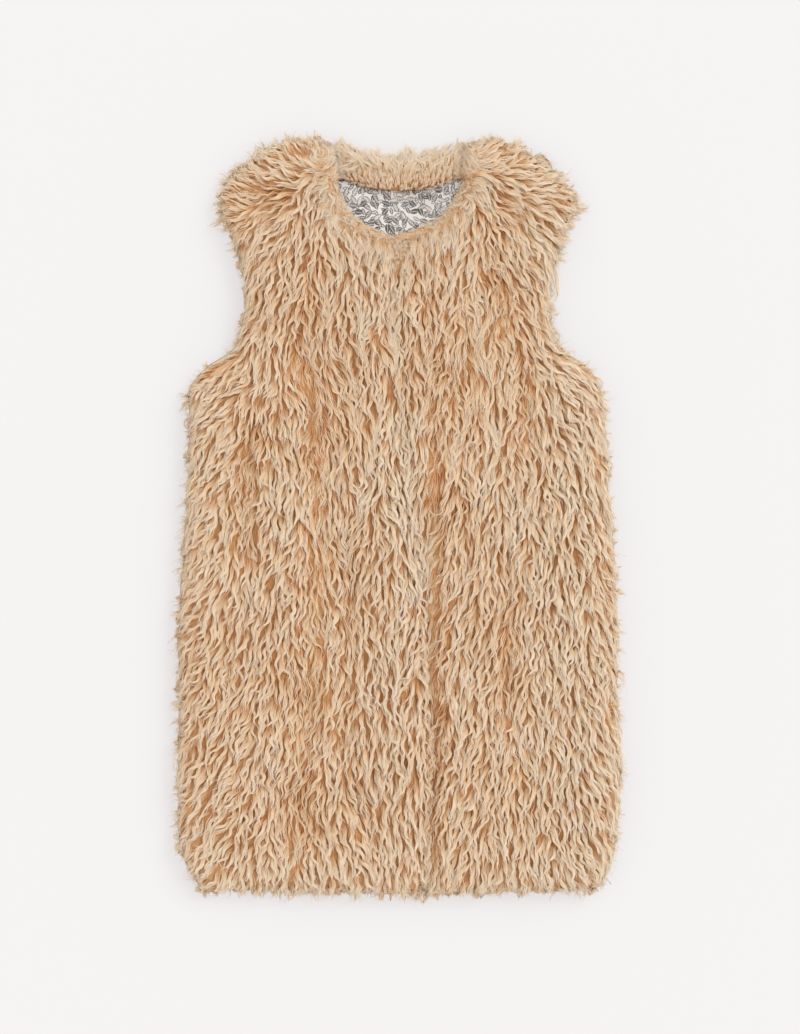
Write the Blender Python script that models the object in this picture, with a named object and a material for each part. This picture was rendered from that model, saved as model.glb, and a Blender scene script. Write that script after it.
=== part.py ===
"""A long sleeveless vest of curly long-pile faux fur, laid on its back with its fronts closed edge to edge.

X runs across the vest, +Y from the hem to the neck, and +Z up from the surface that it lies on.
The pile is part of each wall: a panel's outer points are where the fur reaches, its inner points the backing.
Sizes are in millimetres and become metres where the points are made.
"""

import math
from collections import namedtuple

import bmesh
import bpy
import numpy as np

for old in list(bpy.data.objects):
    bpy.data.objects.remove(old, do_unlink=True)

MM = 0.001

# Layers, as heights above the surface
BACK_TOP = 15.7  # inner face of the back, whose pile is pressed flat below it
SEAM_GAP = 0.3  # between pieces that are sewn or lie together
LINING_THICK = 1.0
LINING_BOTTOM = BACK_TOP + SEAM_GAP
LINING_TOP = LINING_BOTTOM + LINING_THICK
FRONT_INNER = LINING_TOP + SEAM_GAP  # inner face of the fronts, over the lining
FRONT_RIM = BACK_TOP + SEAM_GAP  # inner face of the fronts where they meet the back
LINING_INSET = 22.0  # from the vest's fur edge to the lining's edge
RAMP = 7.0  # over this width the fronts come down from the lining to the back

# Fur edges: a rim of this height all round, then a round of this width
BACK_RIM_LOW = 9.0
BACK_ROUND = 22.0
FRONT_RIM_TOP = 21.0
FRONT_ROUND = 40.0
NECK_RIM_TOP = 25.0
NECK_ROUND = 22.0

# The fur's outer face
PILE_TOP = 41.0  # height at the sides, where the round ends
PILE_CROWN = 3.5  # more than that along the middle
HALF_WIDTH = 262.0
TUFT_WIDE = 36.0
TUFT_LONG = 64.0
TUFT_RISE = 5.0
TUFT_TIP = 0.3  # share of a tuft's length over which its tip drops
TUFT_UNEVEN = 0.45  # how far tufts differ in length and rise
TUFT_SWAY = 9.0
SWAY_LONG = 210.0
SWAY_TURN = 90.0  # tufts this far apart sway one radian out of step
TUFT_PROFILE = 0.7  # below 1 makes a tuft's section fuller than a sine
TUFT_ROOT = 0.15  # share of its rise that a tuft keeps where it starts
SWELL_RISE = 1.6  # slow unevenness of the whole pile
SWELL_LONG = 150.0
SWELL_TURN = 70.0
EDGE_TUFT = 3.5  # how far the tufts reach past the outline between them
EDGE_TUFT_LONG = 33.0
EDGE_WAVES = [(41.0, 0.35), (17.0, 0.2)]  # wavelength over 2 pi, and share of a tuft, of their uneven spacing
TUFT_START = {"left": 0.0, "right": 1200.0, "hem": 500.0, "top": 900.0}  # so that no two edges match

# The roll of back fur that stands behind the neck seam
ROLL_RISE = 12.0
ROLL_ROUND = 14.0
ROLL_END = 78.0  # half its length
ROLL_SIDE_ROUND = 14.0

# Sections across the vest, hem first. A front runs from its outer end to its inner end, which follows the
# centre opening up to the neck and then the neckline. bow lifts the middle of a section, and dip lowers the
# back's section at the centre of the neck.
Section = namedtuple("Section", "inner_y left_in right_in outer_y left_out right_out bow dip")
SECTIONS = [
    Section(-452.4, 29.0, 29.0, -447.0, -234.0, 233.0, 0.0, 0.0),
    Section(-433.0, 30.0, 30.0, -427.0, -251.0, 247.0, 0.0, 0.0),
    Section(-403.0, 32.0, 32.0, -397.0, -262.0, 257.0, 0.0, 0.0),
    Section(-337.0, 35.0, 35.0, -337.0, -266.0, 263.0, 0.0, 0.0),
    Section(-277.0, 35.0, 35.0, -277.0, -265.0, 264.0, 0.0, 0.0),
    Section(-217.0, 32.0, 32.0, -217.0, -264.0, 260.0, 0.0, 0.0),
    Section(-157.0, 30.0, 30.0, -157.0, -265.0, 261.0, 0.0, 0.0),
    Section(-97.0, 26.0, 26.0, -97.0, -263.0, 259.0, 0.0, 0.0),
    Section(-37.0, 20.0, 20.0, -37.0, -259.0, 256.0, 0.0, 0.0),
    Section(23.0, 12.0, 12.0, 23.0, -256.0, 251.0, 0.0, 0.0),
    Section(83.0, 2.0, 2.0, 83.0, -252.0, 247.0, 0.0, 0.0),
    Section(137.0, -2.0, -2.0, 143.0, -254.0, 244.0, 0.0, 0.0),
    Section(165.0, -5.0, -5.0, 163.0, -247.0, 236.0, 0.0, 0.0),
    Section(190.0, -6.0, -6.0, 182.0, -228.0, 221.0, 0.0, 0.0),
    Section(214.0, -7.0, -7.0, 202.0, -197.0, 192.0, 0.0, 0.0),
    Section(243.0, -7.0, -7.0, 233.0, -188.0, 179.0, 0.0, 0.0),
    Section(270.0, -8.0, -8.0, 263.0, -186.0, 179.0, 0.0, 0.0),
    Section(298.0, -8.0, -8.0, 290.0, -187.0, 184.0, 0.0, 0.0),
    Section(321.0, -8.0, -8.0, 314.0, -192.0, 187.0, 0.0, 0.0),
    Section(334.0, -8.0, -8.0, 329.0, -198.0, 191.0, 0.0, 0.0),
    Section(341.5, -27.0, 12.0, 342.0, -204.0, 196.0, 0.0, 0.0),
    Section(352.0, -48.0, 40.0, 355.0, -210.0, 203.0, 0.0, 1.0),
    Section(368.0, -64.0, 59.0, 370.0, -213.0, 210.0, 0.0, 3.0),
    Section(390.0, -74.5, 72.0, 385.0, -214.0, 208.0, 2.0, 9.0),
    Section(411.6, -80.0, 80.0, 400.0, -210.0, 197.0, 5.0, 20.0),
    Section(427.0, -79.0, 79.0, 413.0, -194.0, 184.0, 9.0, 17.0),
    Section(441.6, -78.0, 78.0, 425.0, -178.0, 163.0, 18.0, 14.0),
]
HEM = SECTIONS[0].inner_y
TOP = SECTIONS[-1].inner_y
NECK_BOTTOM = SECTIONS[19].inner_y
NECK_SEAM = SECTIONS[24].inner_y

# Stations are the inner_y values at which points are made: close together at the hem, the neck and the top
EDGE_STEPS = [0.0, 3.0, 8.0, 15.0, 24.0]
BODY_STEP = 17.2
NECK_STEPS = [327.0, NECK_BOTTOM, 337.0, 341.5, 346.5, 352.0, 360.0, 368.0, 378.0, 390.0, 401.0]
ROLL_STEPS = [0.0, 3.0, 8.0, 14.5, 21.5, 27.0]
OUTER_STEPS = [0.0, 3.0, 8.0, 15.0, 24.0, 35.0]
INNER_STEPS = [20.0, 13.0, 7.0, 3.0, 0.0]
FRONT_COLUMNS = 20  # between the outer and the inner steps
BACK_STEPS = [0.0, 3.0, 8.0, 15.0, 24.0]
SHOULDER_COLUMNS = 5
NECK_COLUMNS = 10

# The largest folds and partings of the fur: a line through three points, its height (below 0 a valley) and its
# half width. The opening itself is a valley along the fronts' inner edges.
Fold = namedtuple("Fold", "x0 y0 x1 y1 x2 y2 height wide")
FOLDS = [
    Fold(-6.0, 80.0, -2.0, -120.0, -2.0, -320.0, 4.0, 24.0),
    Fold(-84.0, 70.0, -96.0, -157.0, -132.0, -397.0, -6.0, 17.0),
    Fold(-58.0, -60.0, -60.0, -169.0, -67.0, -275.0, -6.5, 11.0),
    Fold(-124.0, 235.0, -116.0, 179.0, -106.0, 95.0, -5.0, 12.0),
    Fold(-175.0, 100.0, -182.0, 23.0, -185.0, -55.0, -4.5, 11.0),
    Fold(130.0, -45.0, 130.0, -145.0, 127.0, -225.0, -5.5, 10.0),
    Fold(150.0, 170.0, 151.0, 135.0, 152.0, 100.0, -4.0, 11.0),
    Fold(-54.0, -320.0, -42.0, -352.0, -30.0, -390.0, -5.0, 11.0),
    Fold(-172.0, 380.0, -168.0, 366.0, -160.0, 350.0, -5.0, 12.0),
]
OPENING_DEPTH_HEM = 12.0
OPENING_DEPTH_NECK = 6.0
OPENING_WIDE = 15.0

FLAT_ANGLE = math.radians(0.02)  # faces that differ by less than this are one face
SMOOTH_ANGLE = math.radians(50)

# Finish: linear colours of the tan pile and of the printed lining's mean grey
FUR_COLOUR = (0.60, 0.39, 0.24, 1.0)
FUR_ROUGHNESS = 0.85
LINING_COLOUR = (0.50, 0.48, 0.45, 1.0)
LINING_ROUGHNESS = 0.6


def slopes(at, values):
    """Slopes at each point for a curve that never passes beyond its points."""
    rise = [(v1 - v0) / (a1 - a0) for a0, a1, v0, v1 in zip(at, at[1:], values, values[1:])]
    inner = [2 * a * b / (a + b) if a * b > 0 else 0.0 for a, b in zip(rise, rise[1:])]
    return [rise[0], *inner, rise[-1]]


COLUMNS = {}
for column in Section._fields:
    listed = [getattr(section, column) for section in SECTIONS]
    COLUMNS[column] = (listed, slopes([section.inner_y for section in SECTIONS], listed))
STATION_LIST = COLUMNS["inner_y"][0]


def section_at(station):
    """The section at any station, smoothly between those of the table."""
    k = min(max(int(np.searchsorted(STATION_LIST, station)) - 1, 0), len(SECTIONS) - 2)
    span = STATION_LIST[k + 1] - STATION_LIST[k]
    t = (station - STATION_LIST[k]) / span
    start, start_slope = (1 + 2 * t) * (1 - t) ** 2, t * (1 - t) ** 2
    end, end_slope = t * t * (3 - 2 * t), t * t * (t - 1)
    found = []
    for listed, slope in COLUMNS.values():
        curve = start * listed[k] + end * listed[k + 1]
        found.append(curve + span * (start_slope * slope[k] + end_slope * slope[k + 1]))
    return Section(*found)


def stations(first, last):
    """All the stations from first to last."""
    body = np.arange(HEM + EDGE_STEPS[-1] + BODY_STEP, NECK_STEPS[0] - BODY_STEP / 2, BODY_STEP)
    listed = [HEM + step for step in EDGE_STEPS] + list(body) + NECK_STEPS
    listed += [NECK_SEAM + step for step in ROLL_STEPS] + [TOP]
    return [first, *(s for s in listed if first + 1 < s < last - 1), last]


def scallop(along):
    """How far the edge tufts reach out, 0 to 1, at a distance along an edge."""
    uneven = along / EDGE_TUFT_LONG + sum(share * math.sin(along / wave) for wave, share in EDGE_WAVES)
    return abs(math.sin(math.pi * uneven))


def end_tuft(x, station):
    """How far the tufts of the hem and of the top edge move a point along Y."""
    from_hem, from_top = station - HEM, TOP - station
    hem = -max(0.0, 1 - from_hem / EDGE_STEPS[-1]) * scallop(x + TUFT_START["hem"])
    top = max(0.0, 1 - from_top / EDGE_STEPS[-1]) * scallop(x + TUFT_START["top"])
    return EDGE_TUFT * (hem + top)


def outer_end(section, side, tuft=EDGE_TUFT):
    """The outer end of a section on the left (-1) or the right (1), with its tuft."""
    x, start = (section.left_out, "left") if side < 0 else (section.right_out, "right")
    reach = tuft * scallop(section.inner_y + TUFT_START[start])
    return x + side * reach, section.outer_y


def front_row(station, side):
    """Points of one section of a front, from its outer end to its inner end."""
    section = section_at(station)
    x_out, y_out = outer_end(section, side)
    x_in = (section.left_in if side < 0 else section.right_in) + side * SEAM_GAP / 2
    width = abs(x_in - x_out)
    middle = np.linspace(OUTER_STEPS[-1], width - INNER_STEPS[0], FRONT_COLUMNS + 1)[1:-1]
    row = []
    for distance in [*OUTER_STEPS, *middle, *(width - step for step in INNER_STEPS)]:
        f = distance / width
        x = x_out + (x_in - x_out) * f
        y = y_out + (section.inner_y - y_out) * f + section.bow * 4 * f * (1 - f)
        row.append((x, y + end_tuft(x, station)))
    return row


def back_half_row(station, side, inset):
    """Points of one section of the back, or of its lining, from its outer end to the end of the neck roll."""
    section = section_at(station)
    x_out, y_out = outer_end(section, side, 0.0 if inset else EDGE_TUFT)
    x_out -= side * inset
    width = abs(x_out) - ROLL_END
    middle = np.linspace(BACK_STEPS[-1], width, SHOULDER_COLUMNS + 1)[1:]
    row = []
    for distance in [*BACK_STEPS, *middle]:
        f = distance / width
        x = x_out - side * distance
        y = y_out + (section.inner_y - y_out) * f + section.bow * 4 * f * (1 - f)
        row.append((x, y if inset else y + end_tuft(x, station)))
    return row


def back_row(station, inset=0.0):
    """Points of one section right across the back, from left to right."""
    section = section_at(station)
    neck = []
    for x in np.linspace(-ROLL_END, ROLL_END, NECK_COLUMNS + 1)[1:-1]:
        y = section.inner_y - section.dip * (1 - (x / ROLL_END) ** 2)
        neck.append((x, y if inset else y + end_tuft(x, station)))
    return back_half_row(station, -1, inset) + neck + back_half_row(station, 1, inset)[::-1]


def distance_to(points, line):
    """How far each point is from a polyline."""
    points, line = np.array(points, float), np.array(line, float)
    best = np.full(len(points), np.inf)
    for a, b in zip(line, line[1:]):
        along = b - a
        t = np.clip((points - a) @ along / max(along @ along, 1e-9), 0, 1)
        best = np.minimum(best, np.linalg.norm(points - a - t[:, None] * along, axis=1))
    return best


def rounded(distance, width):
    """A quarter round: 0 at an edge, 1 from width on."""
    t = min(max(distance / width, 0.0), 1.0)
    return math.sqrt(1 - (1 - t) ** 2)


def scatter(n):
    """An even-looking number from 0 to 1 for a whole number."""
    return (math.sin(n * 12.9898) * 43758.5453) % 1.0


def tuft_height(x, y):
    """The rise of the overlapping tufts, whose tips point to the hem, and of the pile's slow unevenness."""
    turn = 2 * math.pi / SWELL_LONG
    swell = SWELL_RISE * math.sin(turn * x + y / SWELL_TURN) * math.sin(turn * y)
    x += TUFT_SWAY * math.sin(2 * math.pi * y / SWAY_LONG + x / SWAY_TURN)
    column = math.floor(x / TUFT_WIDE)
    across = math.sin(math.pi * (x / TUFT_WIDE - column)) ** TUFT_PROFILE
    length = TUFT_LONG * (1 + TUFT_UNEVEN * scatter(column + 0.5))
    start = scatter(column) + y / length
    number = math.floor(start)
    along = start - number
    tip = min(along / TUFT_TIP, 1.0)
    rise = TUFT_RISE * (1 + TUFT_UNEVEN * (2 * scatter(column + number / 7) - 1))
    return swell + rise * across * tip * (1 + TUFT_ROOT - along)


def fold_height(points):
    """The sum of the folds' heights at each point."""
    total = np.zeros(len(points))
    for fold in FOLDS:
        line = [(fold.x0, fold.y0), (fold.x1, fold.y1), (fold.x2, fold.y2)]
        total += fold.height * np.exp(-((distance_to(points, line) / fold.wide) ** 2))
    return total


def opening_depth(y):
    """How deep the fur parts along the centre opening."""
    share = min(max((y - HEM) / (NECK_BOTTOM - HEM), 0.0), 1.0)
    return OPENING_DEPTH_HEM + (OPENING_DEPTH_NECK - OPENING_DEPTH_HEM) * share**2


def front_heights(rows, steps):
    """(outer face, inner face) heights of a front for each point, row by row."""
    points = [p for row in rows for p in row]
    outer_line = rows[0][::-1] + [row[0] for row in rows] + rows[-1]
    neck_line = [row[-1] for row, step in zip(rows, steps) if step >= NECK_BOTTOM]
    opening_line = [row[-1] for row, step in zip(rows, steps) if step <= NECK_BOTTOM]
    to_outer, to_neck = distance_to(points, outer_line), distance_to(points, neck_line)
    to_opening, folds = distance_to(points, opening_line), fold_height(points)
    outer, inner = [], []
    for k, (x, y) in enumerate(points):
        full = PILE_TOP + PILE_CROWN * (1 - (x / HALF_WIDTH) ** 2) + tuft_height(x, y) + folds[k]
        full -= opening_depth(y) * math.exp(-((to_opening[k] / OPENING_WIDE) ** 2))
        from_edge = FRONT_RIM_TOP + (full - FRONT_RIM_TOP) * rounded(to_outer[k], FRONT_ROUND)
        from_neck = NECK_RIM_TOP + (full - NECK_RIM_TOP) * rounded(to_neck[k], NECK_ROUND)
        outer.append(min(from_edge, from_neck))
        inner.append(FRONT_RIM + (FRONT_INNER - FRONT_RIM) * min(to_outer[k] / RAMP, 1.0))
    return outer, inner


def back_heights(rows, steps):
    """(inner face, underside) heights of the back for each point, row by row."""
    points = [p for row in rows for p in row]
    outline = rows[0][::-1] + [row[0] for row in rows] + rows[-1] + [row[-1] for row in rows][::-1]
    to_edge = distance_to(points, outline)
    seam_line = back_row(NECK_SEAM)
    to_seam = distance_to(points, seam_line)
    upper, lower = [], []
    for k, (x, y) in enumerate(points):
        roll = 0.0
        if steps[k // len(rows[0])] > NECK_SEAM and abs(x) < ROLL_END:
            roll = ROLL_RISE * rounded(to_seam[k], ROLL_ROUND) * rounded(to_edge[k], ROLL_ROUND)
            roll *= rounded(ROLL_END - abs(x), ROLL_SIDE_ROUND)
        upper.append(BACK_TOP + roll)
        lower.append(BACK_RIM_LOW * (1 - rounded(to_edge[k], BACK_ROUND)))
    return upper, lower


def panel(name, rows, upper, lower, material):
    """A closed wall between the heights upper and lower over a grid of points, as one object."""
    across, along = len(rows[0]), len(rows)
    bm = bmesh.new()
    place = bm.verts.layers.int.new("place")
    bmesh.ops.create_grid(bm, x_segments=across - 1, y_segments=along - 1, size=1.0)
    order = sorted(bm.verts, key=lambda v: (round(v.co.y, 6), round(v.co.x, 6)))
    for k, vert in enumerate(order):
        x, y = rows[k // across][k % across]
        vert.co = (x * MM, y * MM, upper[k] * MM)
        vert[place] = k
    made = bmesh.ops.extrude_face_region(bm, geom=bm.faces[:], use_keep_orig=True)
    for item in made["geom"]:
        if isinstance(item, bmesh.types.BMVert):
            item.co.z = lower[item[place]] * MM
    bmesh.ops.dissolve_limit(bm, angle_limit=FLAT_ANGLE, verts=bm.verts[:], edges=bm.edges[:])
    bmesh.ops.recalc_face_normals(bm, faces=bm.faces[:])
    mesh = bpy.data.meshes.new(name)
    bm.to_mesh(mesh)
    bm.free()
    mesh.materials.append(material)
    mesh.shade_smooth()
    mesh.set_sharp_from_angle(angle=SMOOTH_ANGLE)
    obj = bpy.data.objects.new(name, mesh)
    bpy.context.collection.objects.link(obj)
    return obj


def finish(name, colour, roughness):
    """A plain cloth material."""
    material = bpy.data.materials.new(name)
    material.use_nodes = True
    shader = material.node_tree.nodes["Principled BSDF"]
    shader.inputs["Base Color"].default_value = colour
    shader.inputs["Roughness"].default_value = roughness
    shader.inputs["Metallic"].default_value = 0.0
    return material


fur = finish("curly_fur", FUR_COLOUR, FUR_ROUGHNESS)
printed_cloth = finish("printed_lining", LINING_COLOUR, LINING_ROUGHNESS)

# The back: one panel from side seam to side seam, its pile pressed flat on the surface
back_steps = stations(HEM, TOP)
back_rows = [back_row(step) for step in back_steps]
panel("back", back_rows, *back_heights(back_rows, back_steps), fur)

# The back's lining: a thin sheet on the back's inner face, sewn to it along the neck
lining_steps = stations(HEM + LINING_INSET, NECK_SEAM - SEAM_GAP)
lining_rows = [back_row(step, inset=LINING_INSET) for step in lining_steps]
lining_count = len(lining_rows) * len(lining_rows[0])
lining_faces = [LINING_TOP] * lining_count, [LINING_BOTTOM] * lining_count
panel("back_lining", lining_rows, *lining_faces, printed_cloth)

# The fronts: the wearer's right front lies on the left of the picture
for front_name, front_side in (("front_right", -1), ("front_left", 1)):
    front_steps = stations(HEM, TOP)
    front_rows = [front_row(step, front_side) for step in front_steps]
    panel(front_name, front_rows, *front_heights(front_rows, front_steps), fur)

# The origin is under the middle of the vest's box
spots = np.array([v.co for obj in bpy.data.objects for v in obj.data.vertices])
middle_x, middle_y, _ = (spots.min(axis=0) + spots.max(axis=0)) / 2
for obj in bpy.data.objects:
    obj.location = (-middle_x, -middle_y, 0.0)
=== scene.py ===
import math

import bmesh
import bpy
import numpy as np
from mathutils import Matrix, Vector
from mathutils.bvhtree import BVHTree
from mathutils.kdtree import KDTree


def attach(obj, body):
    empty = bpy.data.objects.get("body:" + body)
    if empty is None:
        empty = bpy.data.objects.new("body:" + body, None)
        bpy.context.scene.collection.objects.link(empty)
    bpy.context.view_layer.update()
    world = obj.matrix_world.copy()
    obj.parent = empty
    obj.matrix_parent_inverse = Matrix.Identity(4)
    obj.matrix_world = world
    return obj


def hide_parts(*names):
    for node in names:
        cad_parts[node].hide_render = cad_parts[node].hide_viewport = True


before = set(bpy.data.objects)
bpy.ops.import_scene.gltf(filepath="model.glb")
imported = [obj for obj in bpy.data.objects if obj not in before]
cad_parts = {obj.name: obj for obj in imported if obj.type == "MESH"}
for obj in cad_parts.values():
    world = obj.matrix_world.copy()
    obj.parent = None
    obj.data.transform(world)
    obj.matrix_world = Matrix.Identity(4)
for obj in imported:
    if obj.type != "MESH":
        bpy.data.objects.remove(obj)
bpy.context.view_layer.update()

# The surface that the vest lies on, and the light.
# A photographer's light table of frosted acrylic, lit from below, under the wide soft light of a window at
# the upper right and a white room, so the vest's only shadow is a soft one along its left side and its hem.
MM = 0.001
TABLE_COLOUR = "#949496"
TABLE_ROUGHNESS = 0.9  # frosted, so it shows no reflection
TABLE_GLOW_COLOUR = "#F3F3F7"
TABLE_GLOW = 0.63
TABLE_HALF = 6.0


def linear(colour):
    """An sRGB hex colour as linear red, green, blue and alpha."""
    parts = [int(colour[k:k + 2], 16) / 255 for k in (1, 3, 5)]
    return (*((p / 12.92 if p <= 0.04045 else ((p + 0.055) / 1.055) ** 2.4) for p in parts), 1.0)


def add(tree, kind, inputs=(), **settings):
    """Adds a node. Each input is given a number, a colour, or the output or node that feeds it."""
    made = tree.nodes.new(kind)
    for name, value in settings.items():
        setattr(made, name, value)
    for key, value in dict(inputs).items():
        if isinstance(value, bpy.types.Node):
            value = value.outputs[0]
        if isinstance(value, bpy.types.NodeSocket):
            tree.links.new(value, made.inputs[key])
        else:
            made.inputs[key].default_value = value
    return made


def new_material(name):
    """An empty node material and its output node."""
    material = bpy.data.materials.new(name)
    material.use_nodes = True
    material.node_tree.nodes.clear()
    return material, material.node_tree, add(material.node_tree, "ShaderNodeOutputMaterial")


def shape(name, bm, material):
    """The bmesh as a smooth-shaded object at the origin."""
    mesh = bpy.data.meshes.new(name)
    bm.to_mesh(mesh)
    bm.free()
    mesh.shade_smooth()
    mesh.materials.append(material)
    piece = bpy.data.objects.new(name, mesh)
    bpy.context.scene.collection.objects.link(piece)
    return piece


frosted_acrylic, tree, output = new_material("frosted_acrylic")
finish = add(
    tree,
    "ShaderNodeBsdfPrincipled",
    {
        "Base Color": linear(TABLE_COLOUR),
        "Roughness": TABLE_ROUGHNESS,
        "Emission Color": linear(TABLE_GLOW_COLOUR),
        "Emission Strength": TABLE_GLOW,
    },
)
tree.links.new(finish.outputs["BSDF"], output.inputs["Surface"])
bm = bmesh.new()
bmesh.ops.create_grid(bm, x_segments=1, y_segments=1, size=TABLE_HALF)
shape("table", bm, frosted_acrylic)

WINDOW_FROM = Vector((1.6, 1.25, 2.2))
WINDOW_POWER = 1.05
WINDOW_WIDE = math.radians(28)  # how wide the window looks from the vest
WINDOW_COLOUR = (0.93, 0.97, 1.0)  # linear
ROOM_COLOUR = "#FFF3E7"
ROOM_POWER = 0.95
lamp = bpy.data.lights.new("window", "SUN")
lamp.energy = WINDOW_POWER
lamp.color = WINDOW_COLOUR
lamp.angle = WINDOW_WIDE
light = bpy.data.objects.new("window", lamp)
light.location = WINDOW_FROM
light.rotation_euler = (-WINDOW_FROM).to_track_quat("-Z", "Y").to_euler()
bpy.context.scene.collection.objects.link(light)

world = bpy.data.worlds.new("white_room")
world.use_nodes = True
world.node_tree.nodes["Background"].inputs["Color"].default_value = linear(ROOM_COLOUR)
world.node_tree.nodes["Background"].inputs["Strength"].default_value = ROOM_POWER
bpy.context.scene.world = world
bpy.context.scene.view_settings.view_transform = "Standard"

# The camera.
# It looks straight down on the vest from far off, as for a catalogue, with +Y up the picture. A pixel of the
# 800 by 1034 frame is 1.2 mm on the vest's widest level.
PIXEL = 1.2 * MM
FRAME_LONG = 1034
CAMERA_HEIGHT = 4.0
WIDEST_LEVEL = 0.018
FRAME_CENTRE = Vector((0.0009, 0.0))
camera = bpy.data.objects.new("camera", bpy.data.cameras.new("camera"))
camera.location = (*FRAME_CENTRE, CAMERA_HEIGHT)
camera.data.lens = camera.data.sensor_width * (CAMERA_HEIGHT - WIDEST_LEVEL) / (FRAME_LONG * PIXEL)
bpy.context.scene.collection.objects.link(camera)
bpy.context.scene.camera = camera

# The back's lining.
# A woven satin with a small print of leaves, cut a little smaller than the back and sewn to it along the
# neck. It lies nearly flat on the back, with the slight waves of a cloth that is held only at its edge.
LINING_WAVE = 0.25 * MM
LINING_TURNS = (5 / (70 * MM), 30.0, 4 / (70 * MM))  # radians a metre: across, across on the slant, and down
LEAF_CELL = 9.5 * MM
LEAF_LONG = 6.2 * MM  # half length
LEAF_WIDE = 2.9 * MM  # half width
LEAF_LAYERS = (((0.0137, 0.0091, 0.0), 0.8), ((0.0, 0.0, 0.0), 1.05))  # where each layer starts, and its size
LEAF_EDGE = 0.25 * MM
OUTLINE_WIDE = 1.2 * MM
MIDRIB_WIDE = 0.6 * MM
VEIN = 2.6 * MM  # spacing of the veins
VEIN_SLANT = 1.3
VEIN_INK = 0.45
LEAF_INK = (0.05, 0.9)  # the palest leaf's ink, and how much more the darkest has
INK_PATCH = 28 * MM  # size of the places with more ink
INK_GRAIN = 0.8 * MM  # coarser than the real ink's, so that it shows
SATIN_COLOUR = "#ECEDEE"
INK_COLOUR = "#161718"
MATHS = "ShaderNodeMath"
MIX = "ShaderNodeMix"
NOISE = "ShaderNodeTexNoise"


def merged_copy(node):
    """A node's surface as a bmesh whose loose triangles are joined."""
    bm = bmesh.new()
    bm.from_mesh(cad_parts[node].data)
    bmesh.ops.remove_doubles(bm, verts=bm.verts[:], dist=0.00002)
    return bm


def leaves(tree, place, start, size):
    """One layer of veined leaves, each turned its own way: where they are, and how much ink they have."""
    moved = add(tree, "ShaderNodeVectorMath", {0: place, 1: start})
    cell = add(
        tree, "ShaderNodeTexVoronoi", {"Vector": moved, "Scale": 1 / (LEAF_CELL * size), "Randomness": 0.8},
        voronoi_dimensions="2D",
    )
    own = add(tree, "ShaderNodeVectorMath", {0: moved, 1: cell.outputs["Position"]}, operation="SUBTRACT")
    luck = add(tree, "ShaderNodeSeparateColor", {"Color": cell.outputs["Color"]})
    angle = add(tree, MATHS, {0: luck, 1: 2 * math.pi}, operation="MULTIPLY")
    own = add(tree, "ShaderNodeVectorRotate", {"Vector": own, "Angle": angle}, rotation_type="Z_AXIS")
    parts = add(tree, "ShaderNodeSeparateXYZ", {0: own})
    up = parts.outputs[0]
    across = add(tree, MATHS, {0: parts.outputs[1]}, operation="ABSOLUTE")
    share = add(tree, MATHS, {0: up, 1: LEAF_LONG * size}, operation="DIVIDE")
    share = add(tree, MATHS, {0: share, 1: 2.0}, operation="POWER")
    edge = add(tree, MATHS, {0: 1.0, 1: share}, operation="SUBTRACT")
    edge = add(tree, MATHS, {0: edge, 1: LEAF_WIDE * size}, operation="MULTIPLY")
    deep = add(tree, MATHS, {0: edge, 1: across}, operation="SUBTRACT")
    inside = add(tree, MATHS, {0: deep, 1: 1 / LEAF_EDGE}, operation="MULTIPLY", use_clamp=True)
    outline = add(tree, MATHS, {0: deep, 1: 1 / OUTLINE_WIDE}, operation="MULTIPLY", use_clamp=True)
    outline = add(tree, MATHS, {0: 1.0, 1: outline}, operation="SUBTRACT")
    slant = add(tree, MATHS, {0: across, 1: VEIN_SLANT}, operation="MULTIPLY")
    slant = add(tree, MATHS, {0: slant, 1: up}, operation="SUBTRACT")
    veins = add(tree, MATHS, {0: slant, 1: 2 * math.pi / VEIN}, operation="MULTIPLY")
    veins = add(tree, MATHS, {0: veins}, operation="SINE")
    fill = add(tree, MATHS, {0: luck.outputs[1], 1: LEAF_INK[1], 2: LEAF_INK[0]}, operation="MULTIPLY_ADD")
    fill = add(tree, MATHS, {0: veins, 1: VEIN_INK, 2: fill}, operation="MULTIPLY_ADD")
    rib = add(tree, MATHS, {0: across, 1: 1 / MIDRIB_WIDE}, operation="MULTIPLY", use_clamp=True)
    drawn = add(tree, MATHS, {0: fill, 1: rib}, operation="MULTIPLY", use_clamp=True)
    drawn = add(tree, MATHS, {0: drawn, 1: outline}, operation="MAXIMUM")
    return inside, drawn


# polyester satin: a smooth face with a slight sheen, off-white, printed in dark grey
satin, tree, output = new_material("printed_satin")
place = add(tree, "ShaderNodeTexCoord").outputs["Object"]
ink = 0.0
for start, size in LEAF_LAYERS:
    inside, drawn = leaves(tree, place, start, size)
    ink = add(tree, MIX, {0: inside, 2: ink, 3: drawn}, data_type="FLOAT")
patch = add(tree, NOISE, {"Vector": place, "Scale": 1 / INK_PATCH, "Detail": 1.0})
patch = add(tree, "ShaderNodeMapRange", {"Value": patch, "From Min": 0.38, "From Max": 0.62})
grain = add(tree, NOISE, {"Vector": place, "Scale": 1 / INK_GRAIN, "Detail": 2.0})
patch = add(tree, MATHS, {0: patch, 1: 0.35, 2: 0.95}, operation="MULTIPLY_ADD")
ink = add(tree, MATHS, {0: ink, 1: patch}, operation="MULTIPLY")
grain = add(tree, MATHS, {0: grain, 1: 0.5, 2: -0.16}, operation="MULTIPLY_ADD")
ink = add(tree, MATHS, {0: ink, 1: grain}, operation="ADD", use_clamp=True)
colours = {"Factor": ink, 6: linear(SATIN_COLOUR), 7: linear(INK_COLOUR)}
colour = add(tree, MIX, colours, data_type="RGBA").outputs[2]
looks = {"Base Color": colour, "Roughness": 0.45, "Sheen Weight": 0.2}
finish = add(tree, "ShaderNodeBsdfPrincipled", looks)
tree.links.new(finish.outputs["BSDF"], output.inputs["Surface"])

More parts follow.
